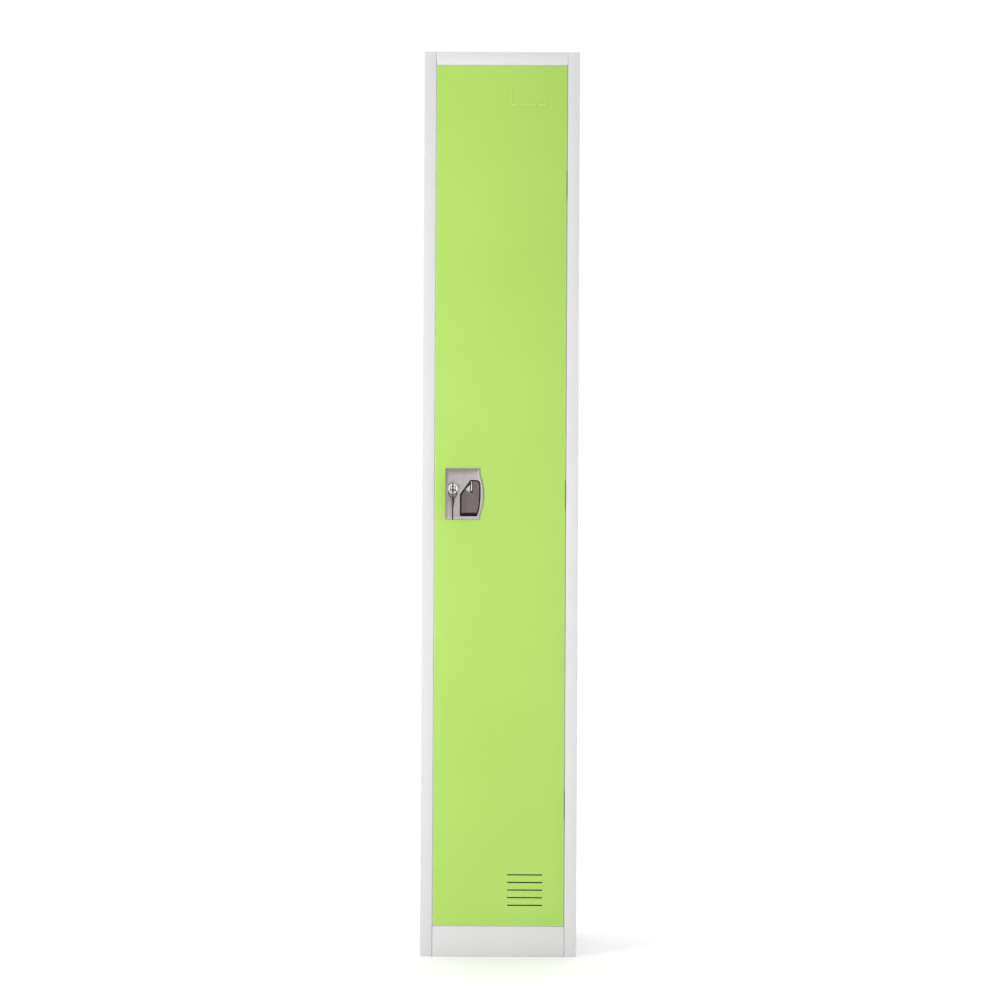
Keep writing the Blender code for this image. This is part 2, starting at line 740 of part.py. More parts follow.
def lever_rivet():
    profile = [(0, 0.0011), (0.0013, 0.0009), (0.0021, 0.0004), (0.0024, 0), (0, 0)]
    place = (-0.0492, LEVER_FRONT - GAP, LEVER_AXIS_Z - 0.0003)
    smooth(turned("lever_rivet", profile, "nickel", "lever", place, (math.radians(90), 0, 0), 16))


def lever_pin_and_spring():
    start, end = -0.0590, -0.0374
    shape = cylinder((start, LEVER_AXIS_BACK, LEVER_AXIS_Z), (end, LEVER_AXIS_BACK, LEVER_AXIS_Z),
                     LEVER_PIN, 12)
    part("lever_pin", shape, "zinc", "door")
    turns, per_turn, radius, wire = 3, 12, 0.0022, 0.0004
    left, right = -0.0443, -0.0402
    curve = bpy.data.curves.new("lever_spring", "CURVE")
    curve.dimensions = "3D"
    curve.bevel_depth = wire
    curve.bevel_resolution = 1
    curve.use_fill_caps = True
    spline = curve.splines.new("POLY")
    count = turns * per_turn + 1
    spline.points.add(count - 1)
    for index, point in enumerate(spline.points):
        angle = 2 * math.pi * index / per_turn
        x = left + (right - left) * index / (count - 1)
        y = LEVER_AXIS_BACK + radius * math.cos(angle)
        point.co = (x, y, LEVER_AXIS_Z + radius * math.sin(angle), 1)
    item = bpy.data.objects.new("lever_spring", curve)
    PARTS.objects.link(item)
    item.parent = EMPTIES["door"]
    item.matrix_parent_inverse = Matrix.Translation(-PIVOTS["door"][1])
    curve.materials.append(finish("lever_spring", "zinc"))


def latch():
    """The bolt, its ramp under the lever's tail, and the hat-shaped guide around it."""
    low, high = BOLT_Z
    tip, end, ramp_foot = -DOOR_HALF, -0.044, -0.057
    ramp = 0.9831
    outline = [
        (tip, low), (end, low), (end, ramp + end), (ramp_foot, ramp + ramp_foot),
        (ramp_foot, high), (tip + 0.003, high), (tip, high - 0.003),
    ]
    part("latch_bolt", prism(outline, "Y", BOLT_BACK, BOLT_BACK + BOLT_THICK), "zinc", "latch")
    foot, crown = 2 * SHEET + GAP, DOOR_DEPTH - 0.0001
    inner_low, inner_high = low - 0.0021, high + 0.0021
    path = [
        (foot, inner_low - 0.007), (foot, inner_low), (crown, inner_low),
        (crown, inner_high), (foot, inner_high), (foot, inner_high + 0.007),
    ]
    folded("latch_guide", path, "X", -0.1135, -0.1070, "zinc", "door")


# Key cylinder

FORWARD = (math.radians(90), 0, 0)
PLUG_PLACE = (PLUG_X, 0, PLUG_Z)


def key_cylinder():
    """Turned about Z with the front upwards, then laid down to face -Y. Heights are -Y."""
    front, back = -BARREL_FRONT, -BARREL_BACK
    bore, thread, head = PLUG_RADIUS + 0.00025, 0.0085, 0.010
    barrel = [
        (bore, front), (head - 0.0012, front), (head, front - 0.0009),
        (head, PLATE_PROUD + GAP), (thread, PLATE_PROUD + GAP), (thread, back), (bore, back),
    ]
    smooth(turned("lock_barrel", barrel, "chrome", "door", PLUG_PLACE, FORWARD, closed=True))
    cam_front, cam_back = -CAM_FRONT + GAP, -CAM_FRONT - 0.0025
    radius = PLUG_RADIUS
    plug = [
        (0, front), (radius - 0.0004, front), (radius, front - 0.0004), (radius, cam_front),
        (0.003, cam_front), (0.003, cam_back), (0.0017, cam_back), (0.0017, -0.0200), (0, -0.0200),
    ]
    item = smooth(turned("lock_plug", plug, "chrome", "plug", PLUG_PLACE, FORWARD))
    half, tall = KEY_THICK / 2 + 0.00015, 0.0038
    keyway = box((PLUG_X - half, BARREL_FRONT - SHEET, PLUG_Z - tall), (PLUG_X + half, 0.0177, PLUG_Z + tall))
    cut(item, keyway, "plug")
    screw = [
        (0, -0.0205), (0.0014, -0.0205), (0.0014, cam_back - GAP), (0.0045, cam_back - GAP),
        (0.0045, cam_back - 0.0016), (0.0036, cam_back - 0.0023), (0, cam_back - 0.0023),
    ]
    turned("cam_screw", screw, "zinc", "plug", PLUG_PLACE, FORWARD, 16)


def lock_nut():
    hexagon = arc((PLUG_X, PLUG_Z), 0.0127, 30, 330, 5)
    item = part("lock_nut", prism(hexagon, "Y", SHEET + GAP, 0.0048), "zinc", "door")
    cut(item, cylinder((PLUG_X, 0, PLUG_Z), (PLUG_X, 0.010, PLUG_Z), 0.0088), "door")


def lock_cam():
    """Hangs straight down when unlocked, and lies behind the left post when turned a quarter."""
    foot = arc((PLUG_X, PLUG_Z - CAM_LENGTH + 0.005), 0.005, 200, 340, 6)
    head = arc((PLUG_X, PLUG_Z), 0.0075, 0, 180, 8)
    item = part("lock_cam", prism([*foot, *head], "Y", CAM_FRONT, CAM_FRONT + 0.002), "zinc", "plug")
    hole = cylinder((PLUG_X, CAM_FRONT - SHEET, PLUG_Z), (PLUG_X, CAM_FRONT + 0.004, PLUG_Z), 0.0033, 16)
    cut(item, hole, "plug")


def key_outline():
    """A flat key from its tip: (distance along, height)."""
    half, teeth, pitch = 0.0035, 5, 0.0036
    points = [(0, 0.001), (0, -0.001), (0.002, -half)]
    for index in range(teeth):
        start = 0.0035 + index * pitch
        depth = 0.0009 + 0.0004 * ((index * 2) % 3)
        points += [(start, -half), (start + 0.001, -half + depth), (start + 0.002, -half + depth)]
    points += [(KEY_BLADE, -half), (KEY_BLADE, -0.0050)]
    middle = KEY_BLADE + KEY_BOW / 2
    bow = arc((0, 0), 1, -150, 150, 14)
    points += [(middle + KEY_BOW / 2 * across, KEY_BOW_HALF * up) for across, up in bow]
    points += [(KEY_BLADE, 0.0050), (KEY_BLADE, half), (0.002, half)]
    return points


def keys():
    """One key upright in the plug, and a spare that hangs from the ring by its hole's upper rim."""
    low, high = PLUG_X - KEY_THICK / 2, PLUG_X + KEY_THICK / 2
    tip = SHOULDER + KEY_BLADE
    spare_hole = RING_FOOT_Z - RING_DROP
    spare_tip = spare_hole - (KEY_BLADE + KEY_BOW - KEY_HOLE_IN)
    inserted = [(tip - along, PLUG_Z + up) for along, up in key_outline()]
    hanging = [(KEY_HOLE_Y + up, spare_tip + along) for along, up in key_outline()]
    copies = (
        ("lock_key", "key", inserted, PLUG_Z, 0),
        ("spare_key", "spare", hanging, spare_hole, SPARE_TURN),
    )
    for name, body, outline, level, degrees in copies:
        start, end = (low - SHEET, KEY_HOLE_Y, level), (high + SHEET, KEY_HOLE_Y, level)
        blank, hole = prism(outline, "X", low, high), cylinder(start, end, 0.003, 16)
        for shape in (blank, hole):
            turn_upright(shape, degrees)
        cut(part(name, blank, "gunmetal", body), hole, body)


def turn_upright(shape, degrees):
    """Turned about the vertical line through the key hole."""
    turn = Matrix.Rotation(math.radians(degrees), 3, "Z")
    bmesh.ops.rotate(shape, cent=(PLUG_X, KEY_HOLE_Y, 0), matrix=turn, verts=shape.verts)


def key_ring():
    bpy.ops.mesh.primitive_torus_add(
        major_radius=RING_RADIUS, minor_radius=RING_WIRE, major_segments=28, minor_segments=8
    )
    made = bpy.context.object
    shape = bmesh.new()
    shape.from_mesh(made.data)
    bpy.data.objects.remove(made, do_unlink=True)
    place = (PLUG_X, KEY_HOLE_Y, RING_TOP_Z - RING_RADIUS)
    smooth(part("key_ring", shape, "chrome", "ring", place, FORWARD))


clear_scene()
PARTS = make_collection("school_locker")
TOOLS = make_collection("cutters")
EMPTIES = make_pivots()

front_posts()
strike_plate()
top_rail_and_plinth()
side_and_back_panels()
pans()
shelf_clips()
coat_rod()
coat_hooks()
door_bumpers()
hinges()
door_panel()
door_stiffener()
card_holder()
lock_housing()
housing_screws()
padlock_staple()
lift_lever()
lever_rivet()
lever_pin_and_spring()
latch()
key_cylinder()
lock_nut()
lock_cam()
keys()
key_ring()
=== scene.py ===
"""Looks of the school locker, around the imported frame.

Every CAD node gets a finish and rounded edges. The key ring, the lever's face, its rivet and the door's
edge seals are meshes made here. Metres, +Z up, the door faces -Y.
"""

import json
import math

import bmesh
import bpy
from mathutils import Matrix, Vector


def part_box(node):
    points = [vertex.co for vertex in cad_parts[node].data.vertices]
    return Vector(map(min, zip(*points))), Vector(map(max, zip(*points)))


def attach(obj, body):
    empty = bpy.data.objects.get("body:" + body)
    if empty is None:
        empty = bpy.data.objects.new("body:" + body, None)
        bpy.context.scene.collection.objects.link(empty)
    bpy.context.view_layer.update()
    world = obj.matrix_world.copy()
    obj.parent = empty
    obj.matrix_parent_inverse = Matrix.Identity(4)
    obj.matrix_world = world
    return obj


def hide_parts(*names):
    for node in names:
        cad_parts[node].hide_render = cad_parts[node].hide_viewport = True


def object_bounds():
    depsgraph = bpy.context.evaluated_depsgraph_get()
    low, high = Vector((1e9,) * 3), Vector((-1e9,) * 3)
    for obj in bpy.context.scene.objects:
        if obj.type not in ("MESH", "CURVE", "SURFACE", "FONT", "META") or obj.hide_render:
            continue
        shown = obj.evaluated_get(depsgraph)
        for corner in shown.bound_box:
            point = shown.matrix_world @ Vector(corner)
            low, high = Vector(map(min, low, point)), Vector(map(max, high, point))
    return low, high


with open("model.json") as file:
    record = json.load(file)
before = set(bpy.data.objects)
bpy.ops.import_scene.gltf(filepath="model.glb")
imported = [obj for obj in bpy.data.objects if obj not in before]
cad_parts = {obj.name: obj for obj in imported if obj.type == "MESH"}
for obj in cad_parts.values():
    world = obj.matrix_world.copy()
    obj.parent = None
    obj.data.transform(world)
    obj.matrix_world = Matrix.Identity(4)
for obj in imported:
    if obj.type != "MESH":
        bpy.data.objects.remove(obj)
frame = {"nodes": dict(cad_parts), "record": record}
CAD_LOW, CAD_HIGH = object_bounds()
NODES = frame["nodes"]

FRONT_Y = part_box("front_post_left")[0].y
HEIGHT = CAD_HIGH.z


# Shader building blocks

def new_material(name):
    """A Principled material, its node tree and its shader."""
    material = bpy.data.materials.new(name)
    material.use_nodes = True
    tree = material.node_tree
    return material, tree, tree.nodes["Principled BSDF"]


def node(tree, kind, inputs=None, **settings):
    """A new node; each input takes a value or a link from another node's socket."""
    made = tree.nodes.new(kind)
    for key, value in settings.items():
        setattr(made, key, value)
    for key, value in (inputs or {}).items():
        socket = made.inputs[key]
        if isinstance(value, bpy.types.NodeSocket):
            tree.links.new(value, socket)
        else:
            socket.default_value = value
    return made


def places(tree, stretch=(1, 1, 1)):
    """Object coordinates in metres, which ride with each body, stretched along the axes."""
    where = node(tree, "ShaderNodeTexCoord").outputs["Object"]
    return node(tree, "ShaderNodeMapping", {"Vector": where, "Scale": stretch}).outputs["Vector"]


def grain(tree, scale, detail=2.0, rough=0.5, stretch=(1, 1, 1)):
    """Noise fixed to the piece, about 1/scale of a metre across."""
    inputs = {"Vector": places(tree, stretch), "Scale": scale, "Detail": detail, "Roughness": rough}
    return node(tree, "ShaderNodeTexNoise", inputs).outputs["Fac"]


def between(tree, value, low, high, to_low, to_high):
    """A value mapped from one range to another."""
    inputs = {
        "Value": value, "From Min": low, "From Max": high, "To Min": to_low, "To Max": to_high,
    }
    return node(tree, "ShaderNodeMapRange", inputs).outputs["Result"]


def ramp(tree, value, stops):
    """Colours along a value: stops are (place, colour)."""
    made = node(tree, "ShaderNodeValToRGB", {"Fac": value})
    points = made.color_ramp.elements
    while len(points) < len(stops):
        points.new(0.5)
    for point, (where, colour) in zip(points, stops):
        point.position = where
        point.color = (*colour, 1)
    return made.outputs["Color"]


def mix(tree, share, first, second):
    """A share of the second colour over the first."""
    made = node(tree, "ShaderNodeMix", data_type="RGBA", blend_type="MIX")
    for socket, value in zip((made.inputs[0], made.inputs[6], made.inputs[7]), (share, first, second)):
        if isinstance(value, bpy.types.NodeSocket):
            tree.links.new(value, socket)
        else:
            socket.default_value = value
    return made.outputs[2]


def calculate(tree, operation, first, second):
    return node(tree, "ShaderNodeMath", {0: first, 1: second}, operation=operation).outputs[0]


def bump(tree, height, depth, strength):
    inputs = {"Height": height, "Distance": depth, "Strength": strength}
    return node(tree, "ShaderNodeBump", inputs).outputs["Normal"]


# Finishes

COAT_GLOSS = (0.36, 0.46)  # roughness of the powder coat's glossiest and dullest patches
COAT_WEAR_AND_HIGHLIGHT = 0.0012  # how far in from an edge its coat is thin and lighter: partly wear, partly painted highlight
COAT_PEEL = 0.00022  # depth of its orange peel


def edge_wear_and_highlight(tree, reach):
    """1 on edges and corners, 0 on faces: how far a rounded normal leans from the true one."""
    soft = node(tree, "ShaderNodeBevel", {"Radius": reach}, samples=4).outputs["Normal"]
    true = node(tree, "ShaderNodeNewGeometry").outputs["Normal"]
    lean = node(tree, "ShaderNodeVectorMath", {0: soft, 1: true}, operation="DOT_PRODUCT")
    return between(tree, lean.outputs["Value"], 0.985, 0.86, 0.0, 1.0)


def powder_coat(name, light, dark, speckle, edge):
    """Baked powder coat: slow tone drift, fine flecks, orange peel, and a thinner, lighter coat on edges
    that is partly wear and partly painted highlight.
    """
    material, tree, shader = new_material(name)
    drift = grain(tree, 3.1, 3.0, 0.55)
    colour = ramp(tree, drift, [(0.30, dark), (0.70, light)])
    flecks = between(tree, grain(tree, 900, 1.0), 0.62, 0.75, 0.0, 0.35)
    colour = mix(tree, flecks, colour, (*speckle, 1))
    # Edges take the lighter edge colour: a thinner coat, and a painted highlight where a rounded edge would
    # catch light.
    worn_and_highlit = calculate(tree, "MULTIPLY", edge_wear_and_highlight(tree, COAT_WEAR_AND_HIGHLIGHT), grain(tree, 130, 3.0))
    colour = mix(tree, worn_and_highlit, colour, (*edge, 1))
    tree.links.new(colour, shader.inputs["Base Color"])
    peel = grain(tree, 420, 2.0, 0.45)
    gloss = between(tree, grain(tree, 60, 2.0), 0.3, 0.7, *COAT_GLOSS)
    tree.links.new(gloss, shader.inputs["Roughness"])
    shader.inputs["Specular IOR Level"].default_value = 0.45
    shader.inputs["Coat Weight"].default_value = 0.15
    shader.inputs["Coat Roughness"].default_value = 0.22
    tree.links.new(bump(tree, peel, COAT_PEEL, 0.5), shader.inputs["Normal"])
    return material


def brushed_metal(name, light, dark, rough, stretch):
    """Metal with fine lines along one axis and a slow change of tone."""
    material, tree, shader = new_material(name)
    lines = grain(tree, 700, 3.0, 0.6, stretch)
    tone = mix(tree, 0.45, grain(tree, 35, 2.0), lines)
    tree.links.new(ramp(tree, tone, [(0.32, dark), (0.68, light)]), shader.inputs["Base Color"])
    tree.links.new(between(tree, lines, 0.3, 0.7, rough - 0.06, rough + 0.08), shader.inputs["Roughness"])
    shader.inputs["Metallic"].default_value = 1.0
    tree.links.new(bump(tree, lines, 0.00003, 0.6), shader.inputs["Normal"])
    return material


def nickel_with_painted_cup_shade(name, cup_from, cup_to):
    """Satin nickel with painted shade: it goes near black between two depths, in the cup of the lock
    housing.
    """
    material = brushed_metal(name, *NICKEL, *SATIN)
    tree = material.node_tree
    shader = tree.nodes["Principled BSDF"]
    depth = node(tree, "ShaderNodeSeparateXYZ", {"Vector": places(tree)}).outputs["Y"]
    inside = between(tree, depth, cup_from, cup_to, 0.0, 1.0)
    colour = shader.inputs["Base Color"].links[0].from_socket
    # Painted shade: deeper in the cup the nickel turns near black.
    light, dark = CUP_SHADE
    painted_cup_shade = ramp(tree, grain(tree, 240, 3.0), [(0.3, dark), (0.7, light)])
    tree.links.new(mix(tree, inside, colour, painted_cup_shade), shader.inputs["Base Color"])
    tree.links.new(between(tree, inside, 0, 1, 1.0, 0.2), shader.inputs["Metallic"])
    return material


def zinc_plate(name, light, dark):
    """Bright zinc: small crystal patches that differ a little in tone and gloss."""
    material, tree, shader = new_material(name)
    cells = node(tree, "ShaderNodeTexVoronoi", {"Vector": places(tree), "Scale": 380}).outputs["Color"]
    patches = node(tree, "ShaderNodeSeparateColor", {"Color": cells}).outputs["Red"]
    tone = mix(tree, 0.6, patches, grain(tree, 90, 3.0))
    tree.links.new(ramp(tree, tone, [(0.2, dark), (0.8, light)]), shader.inputs["Base Color"])
    tree.links.new(between(tree, tone, 0.2, 0.8, 0.26, 0.40), shader.inputs["Roughness"])
    shader.inputs["Metallic"].default_value = 1.0
    tree.links.new(bump(tree, grain(tree, 500, 3.0), 0.00004, 0.5), shader.inputs["Normal"])
    return material


def bright_plate(name, light, dark, rough):
    """Polished plating with faint handling marks."""
    material, tree, shader = new_material(name)
    marks = grain(tree, 260, 4.0, 0.7, (1, 1, 3))
    tree.links.new(ramp(tree, marks, [(0.3, dark), (0.7, light)]), shader.inputs["Base Color"])
    gloss = between(tree, marks, 0.35, 0.75, rough - 0.04, rough + 0.06)
    tree.links.new(gloss, shader.inputs["Roughness"])
    shader.inputs["Metallic"].default_value = 1.0
    tree.links.new(bump(tree, marks, 0.00002, 0.4), shader.inputs["Normal"])
    return material


def moulded_rubber(name, light, dark):
    """Matt rubber or soft plastic with a fine moulded skin."""
    material, tree, shader = new_material(name)
    skin = grain(tree, 1400, 3.0, 0.6)
    tree.links.new(ramp(tree, skin, [(0.3, dark), (0.7, light)]), shader.inputs["Base Color"])
    tree.links.new(between(tree, skin, 0.3, 0.7, 0.70, 0.88), shader.inputs["Roughness"])
    tree.links.new(bump(tree, skin, 0.00006, 0.6), shader.inputs["Normal"])
    return material


# Colours are light and dark tones; a powder coat has those of its flecks and its edges as well, the edges'
# lighter tone partly wear and partly painted highlight.
GREY = ((0.800, 0.795, 0.800), (0.765, 0.760, 0.770), (0.84, 0.84, 0.84), (0.88, 0.88, 0.87))
GREEN = ((0.480, 0.760, 0.140), (0.455, 0.725, 0.125), (0.54, 0.80, 0.20), (0.62, 0.84, 0.30))
# a lighter copy of the door's green: painted highlight for the card holder's raised bars
HIGHLIT_GREEN = ((0.580, 0.870, 0.195), (0.550, 0.840, 0.180), (0.62, 0.88, 0.25), (0.70, 0.92, 0.36))
NICKEL = ((0.60, 0.545, 0.545), (0.50, 0.455, 0.46))
# near-black tones of the painted shade in the lock housing's cup
CUP_SHADE = ((0.055, 0.038, 0.038), (0.030, 0.020, 0.020))
ZINC = ((0.70, 0.70, 0.69), (0.50, 0.52, 0.55))
GUNMETAL = ((0.26, 0.205, 0.205), (0.19, 0.15, 0.15))
CHROME = ((0.86, 0.86, 0.87), (0.74, 0.74, 0.76))
WHITE_PLATE = ((0.97, 0.97, 0.97), (0.88, 0.88, 0.89))
KEY_STEEL = ((0.075, 0.060, 0.060), (0.035, 0.028, 0.030))
BLACK = ((0.040, 0.040, 0.041), (0.018, 0.018, 0.019))
CLEAR_GREY = ((0.86, 0.87, 0.84), (0.78, 0.79, 0.77))
SATIN = (0.34, (1, 1, 0.06))  # roughness, and the stretch that draws the grain out along Z
CUP_DARK_FROM, CUP_DARK_TO = 0.0012, 0.0042  # behind the lock plate's front; between them the cup is painted dark as shade
FINISHES = {
    "grey_paint": powder_coat("grey_powder_coat", *GREY),
    "green_paint": powder_coat("green_powder_coat", *GREEN),
    "zinc_plate": zinc_plate("zinc_plate", *ZINC),
    "satin_nickel": brushed_metal("satin_nickel", *NICKEL, *SATIN),
    "gunmetal": brushed_metal("gunmetal", *GUNMETAL, 0.36, (1, 1, 0.08)),
    "chrome": bright_plate("chrome_plate", *CHROME, 0.09),
    "rubber": moulded_rubber("moulded_rubber", *BLACK),
}
PLATE_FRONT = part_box("lock_housing")[0].y
FINER = {  # finishes of single nodes
    "lock_housing": nickel_with_painted_cup_shade("housing_nickel", PLATE_FRONT + CUP_DARK_FROM, PLATE_FRONT + CUP_DARK_TO),
    "padlock_staple": bright_plate("staple_plate", *WHITE_PLATE, 0.38),
    "lock_barrel": bright_plate("barrel_chrome", *WHITE_PLATE, 0.22),
    "lock_key": brushed_metal("key_steel", *KEY_STEEL, 0.30, (1, 0.1, 0.1)),
}
FINER["spare_key"] = FINER["lock_key"]
# The card holder has the same green paint as the door, painted lighter all over as a highlight on its raised
# bars.
HOLDER_HIGHLIGHT_COAT = powder_coat("card_holder_highlight_coat", *HIGHLIT_GREEN)
for word in ("left", "bottom", "right"):
    FINER[f"card_holder_{word}"] = HOLDER_HIGHLIGHT_COAT
EDGE_ROUND = 0.00035  # radius on the CAD nodes' sharp edges
WIDER_ROUNDS = {
    "lock_barrel": 0.0012, "lock_key": 0.0006, "spare_key": 0.0006,
    "coat_hook_left": 0.001, "coat_hook_right": 0.001,
}


def finish_nodes():
    """Each CAD node takes the finish of its slot in the record, or its own finer one."""
    for entry in frame["record"]["subparts"]:
        name = entry["node"]
        item = NODES[name]
        item.data.materials.clear()
        item.data.materials.append(FINER.get(name, FINISHES[entry["material_slot"]]))
        round_edges(item, WIDER_ROUNDS.get(name, EDGE_ROUND))


# Edges

SHALLOW = math.radians(35)  # edges that turn by less than this stay smooth


def shade_by_angle():
    """A node group that shades faces smooth and keeps edges over the shallow angle sharp."""
    tree = bpy.data.node_groups.new("shade_by_angle", "GeometryNodeTree")
    for way in ("INPUT", "OUTPUT"):
        tree.interface.new_socket("Geometry", in_out=way, socket_type="NodeSocketGeometry")
    angle = node(tree, "GeometryNodeInputMeshEdgeAngle").outputs[0]
    shallow = calculate(tree, "LESS_THAN", angle, SHALLOW)
    mesh = node(tree, "NodeGroupInput").outputs[0]
    for domain, smooth in (("EDGE", shallow), ("FACE", True)):
        inputs = {0: mesh, "Shade Smooth": smooth}
        mesh = node(tree, "GeometryNodeSetShadeSmooth", inputs, domain=domain).outputs[0]
    tree.links.new(mesh, node(tree, "NodeGroupOutput").inputs[0])
    return tree


SHADING = shade_by_angle()


def round_edges(item, width):
    """Merged flat faces, a small round on each sharp edge, and smooth shading across it."""
    item.modifiers.new("weld", "WELD").merge_threshold = 0.00001
    flat = item.modifiers.new("flat", "DECIMATE")
    flat.decimate_type = "DISSOLVE"
    flat.angle_limit = math.radians(0.4)
    bevel = item.modifiers.new("round", "BEVEL")
    bevel.width = width
    bevel.segments = 2
    bevel.limit_method = "ANGLE"
    bevel.angle_limit = SHALLOW
    item.modifiers.new("shade", "NODES").node_group = SHADING


# Pieces that stand for CAD nodes, and small ones beside them

def finished(name, shape, material, body, width=None):
    """A mesh object with its material, smooth shading, rounded edges when a width is given, and body."""
    bmesh.ops.recalc_face_normals(shape, faces=shape.faces)
    mesh = bpy.data.meshes.new(name)
    shape.to_mesh(mesh)
    shape.free()
    item = bpy.data.objects.new(name, mesh)
    bpy.context.scene.collection.objects.link(item)
    mesh.materials.append(material)
    if width:
        round_edges(item, width)
    else:
        item.modifiers.new("shade", "NODES").node_group = SHADING
    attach(item, body)
    return item


def rounded(outline, radii, steps=5):
    """The outline with each corner replaced by an arc; a radius of 0 keeps it sharp."""
    points = []
    for index, (corner, radius) in enumerate(zip(outline, radii)):
        here = Vector(corner)
        back = (Vector(outline[index - 1]) - here).normalized()
        ahead = (Vector(outline[(index + 1) % len(outline)]) - here).normalized()
        if radius == 0:
            points.append(here)
            continue
        half = back.angle(ahead) / 2
        centre = here + (back + ahead).normalized() * radius / math.sin(half)
        first = here + back * radius / math.tan(half) - centre
        last = here + ahead * radius / math.tan(half) - centre
        for step in range(steps + 1):
            turn = first.normalized().slerp(last.normalized(), step / steps)
            points.append(centre + turn * radius)
    return points


def eased(share):
    """0 to 1 with a level start and end."""
    share = min(max(share, 0), 1)
    return share * share * (3 - 2 * share)


def ring_strip(shape, loops):
    """Joins closed loops of vertices, one after the other."""
    for first, second in zip(loops, loops[1:]):
        for index in range(len(first)):
            after = (index + 1) % len(first)
            shape.faces.new((first[index], first[after], second[after], second[index]))


RING_STEPS = 112
RING_START, RING_SWEEP = 110, 712  # degrees: two turns less a small gap
RING_CROSSING = (0.46, 0.08)  # where along the wire it crosses over, and for how long
RING_TALL = 1.9  # the wire's half height, in half widths


def split_ring():
    """A split ring of two flat turns side by side, crossing over in one short stretch."""
    low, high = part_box("key_ring")
    centre = (low + high) / 2
    across, wire = (high.x - low.x) / 2, (high.y - low.y) / 4
    tall = RING_TALL * wire
    radius = across - tall
    upper = [(-tall, 0.4), (-0.6 * tall, 0.94), (0.6 * tall, 0.94), (tall, 0.4)]
    section = upper + [(out, -along) for out, along in reversed(upper)]
    start, length = RING_CROSSING
    shape = bmesh.new()
    loops = []
    for step in range(RING_STEPS + 1):
        share = step / RING_STEPS
        angle = math.radians(RING_START + RING_SWEEP * share)
        depth = centre.y + wire * (2 * eased((share - start) / length) - 1)
        loops.append([
            shape.verts.new((
                centre.x + (radius + out) * math.cos(angle), depth + along * wire,
                centre.z + (radius + out) * math.sin(angle),
            ))
            for out, along in section
        ])
    ring_strip(shape, loops)
    shape.faces.new(loops[0])
    shape.faces.new(loops[-1])
    item = finished("split_key_ring", shape, FINER["lock_key"], "ring")
    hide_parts("key_ring")


LEVER_LOW, LEVER_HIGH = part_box("lift_lever")
NOTCH_INNER = (0.0231, 0.0391)
NOTCH_TOP = (0.0231, 0.0643)
NOTCH_LEFT = (0.0074, 0.0472)
LEVER_CORNERS = (  # from the lever's lower left corner: (across, up), corner radius
    ((0.0000, 0.0000), 0.0025), ((0.0320, 0.0000), 0.0025), ((0.0351, 0.0096), 0),
    ((0.0371, 0.0324), 0), ((0.0371, 0.0643), 0.0080), (NOTCH_TOP, 0), (NOTCH_INNER, 0),
    (NOTCH_LEFT, 0), ((0.0000, 0.0370), 0.0030),
)
CAP_GROWN = 0.0002  # how far the cap's outline stands out from the lever's
CAP_BACK = 0.0018  # how far the cap's back is behind the lever's front face
CAP_RIM = 0.0013  # the same for its rim
CAP_BORDER = 0.0015  # width of the rolled border
CAP_LOOPS = 5  # rows of faces across it
CAP_SKIN = 0.0002  # least height of the facets over the lever's front face
CAP_RISE = 0.0013  # most height above that
CAP_CELL = 0.0012  # size of the faces inside the border
CUT_STEP = 0.004  # between points on the notch's sides, more than a border's width from its corners
LEFT_SLOPE, RIGHT_SLOPE, CREASE_SLOPE = 0.11, 0.08, 0.16
RIGHT_FOOT = 0.0367  # where the right facet meets the border
CREASE_FOOT = Vector((0.0262, 0.0492))  # a point on the crease, and the direction away from it
CREASE_FALL = Vector((-0.8840, -0.4696))


def cap_depth(spot, border):
    """How far the cap's face stands in front of the lever's: three shallow facets and a soft border."""
    left = spot.x * LEFT_SLOPE
    right = (RIGHT_FOOT - spot.x) * RIGHT_SLOPE
    crease = (spot - CREASE_FOOT).dot(CREASE_FALL) * CREASE_SLOPE
    rise = CAP_SKIN + max(0, min(left, right, crease, CAP_RISE))
    return (rise + CAP_RIM) * eased(border / CAP_BORDER) - CAP_RIM


def to_segment(point, start, end):
    """The distance from a point to a straight side."""
    along = end - start
    share = min(max((point - start).dot(along) / along.length_squared, 0), 1)
    return (point - start - along * share).length


def cut_side(start, end):
    """True for the two straight sides of the notch, which have no border."""
    inner = Vector(NOTCH_INNER)
    return any(
        max(to_segment(point, Vector(corner), inner) for point in (start, end)) < 3 * CAP_GROWN
        for corner in (NOTCH_TOP, NOTCH_LEFT)
    )


def cap_outline():
    """The sides of the cap's outline, a little outside the lever's."""
    outline = rounded(*zip(*LEVER_CORNERS))
    middle = sum(outline, Vector((0, 0))) / len(outline)
    outline = [point + (point - middle).normalized() * CAP_GROWN for point in outline]
    return list(zip(outline, outline[1:] + outline[:1]))


def cap_front(shape, rim):
    """A flat face inside the rim, cut into loops along the border and square cells within them."""
    points = []
    for start, end in rim:
        count = round((end - start).length / CUT_STEP) if cut_side(start, end) else 1
        points += [start.lerp(end, share / count) for share in range(count)]
    inner = shape.faces.new([shape.verts.new((point.x, 0, point.y)) for point in points])
    for step in range(CAP_LOOPS + 1):  # the last loop lies past the border, so that its shade ends evenly
        bmesh.ops.inset_region(
            shape, faces=[inner], thickness=CAP_BORDER / CAP_LOOPS, use_boundary=True, use_even_offset=True
        )
    cells = [inner]
    for axis, end in ((0, LEVER_HIGH.x - LEVER_LOW.x), (2, LEVER_HIGH.z - LEVER_LOW.z)):
        for step in range(1, math.ceil(end / CAP_CELL)):
            place, normal = Vector((0, 0, 0)), Vector((0, 0, 0))
            place[axis], normal[axis] = step * CAP_CELL, 1
            geometry = {part for face in cells for part in (face, *face.edges, *face.verts)}
            found = bmesh.ops.bisect_plane(shape, geom=list(geometry), plane_co=place, plane_no=normal)
            cells = [part for part in found["geom"] if isinstance(part, bmesh.types.BMFace)]


